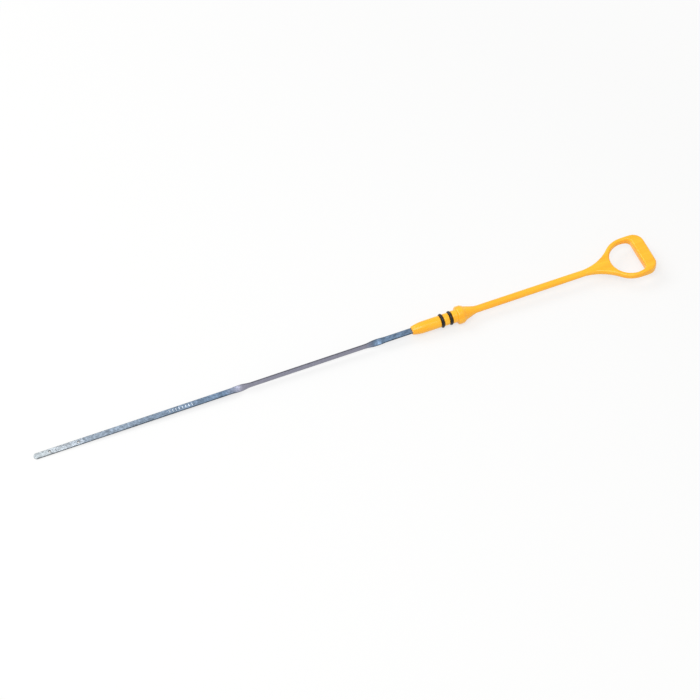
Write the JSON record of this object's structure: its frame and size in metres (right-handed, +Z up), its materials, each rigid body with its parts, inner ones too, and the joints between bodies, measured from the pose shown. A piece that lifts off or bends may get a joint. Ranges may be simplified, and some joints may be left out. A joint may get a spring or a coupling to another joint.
{
  "type": "engine oil dipstick",
  "caption": "Engine oil dipstick: finger loop handle on a slim stem, sealing plug with rubber rings, and a twisted flat steel blade with level holes near its round tip.",
  "frame": {"origin": "middle of the bounding box, on the plane that the dipstick lies on", "axes": "+X along the stick towards the finger loop, +Z up; the stick leans a degree, on its collar and its tip"},
  "size_m": [0.5152, 0.0406, 0.0145],
  "materials": {
    "handle_plastic": "moulded",
    "strip_steel": "zinc plated",
    "seal_rubber": "satin"
  },
  "bodies": {
    "root": {"handle": "handle_plastic", "blade": "strip_steel", "lower_o_ring": "seal_rubber", "upper_o_ring": "seal_rubber"}
  },
  "joints": []
}
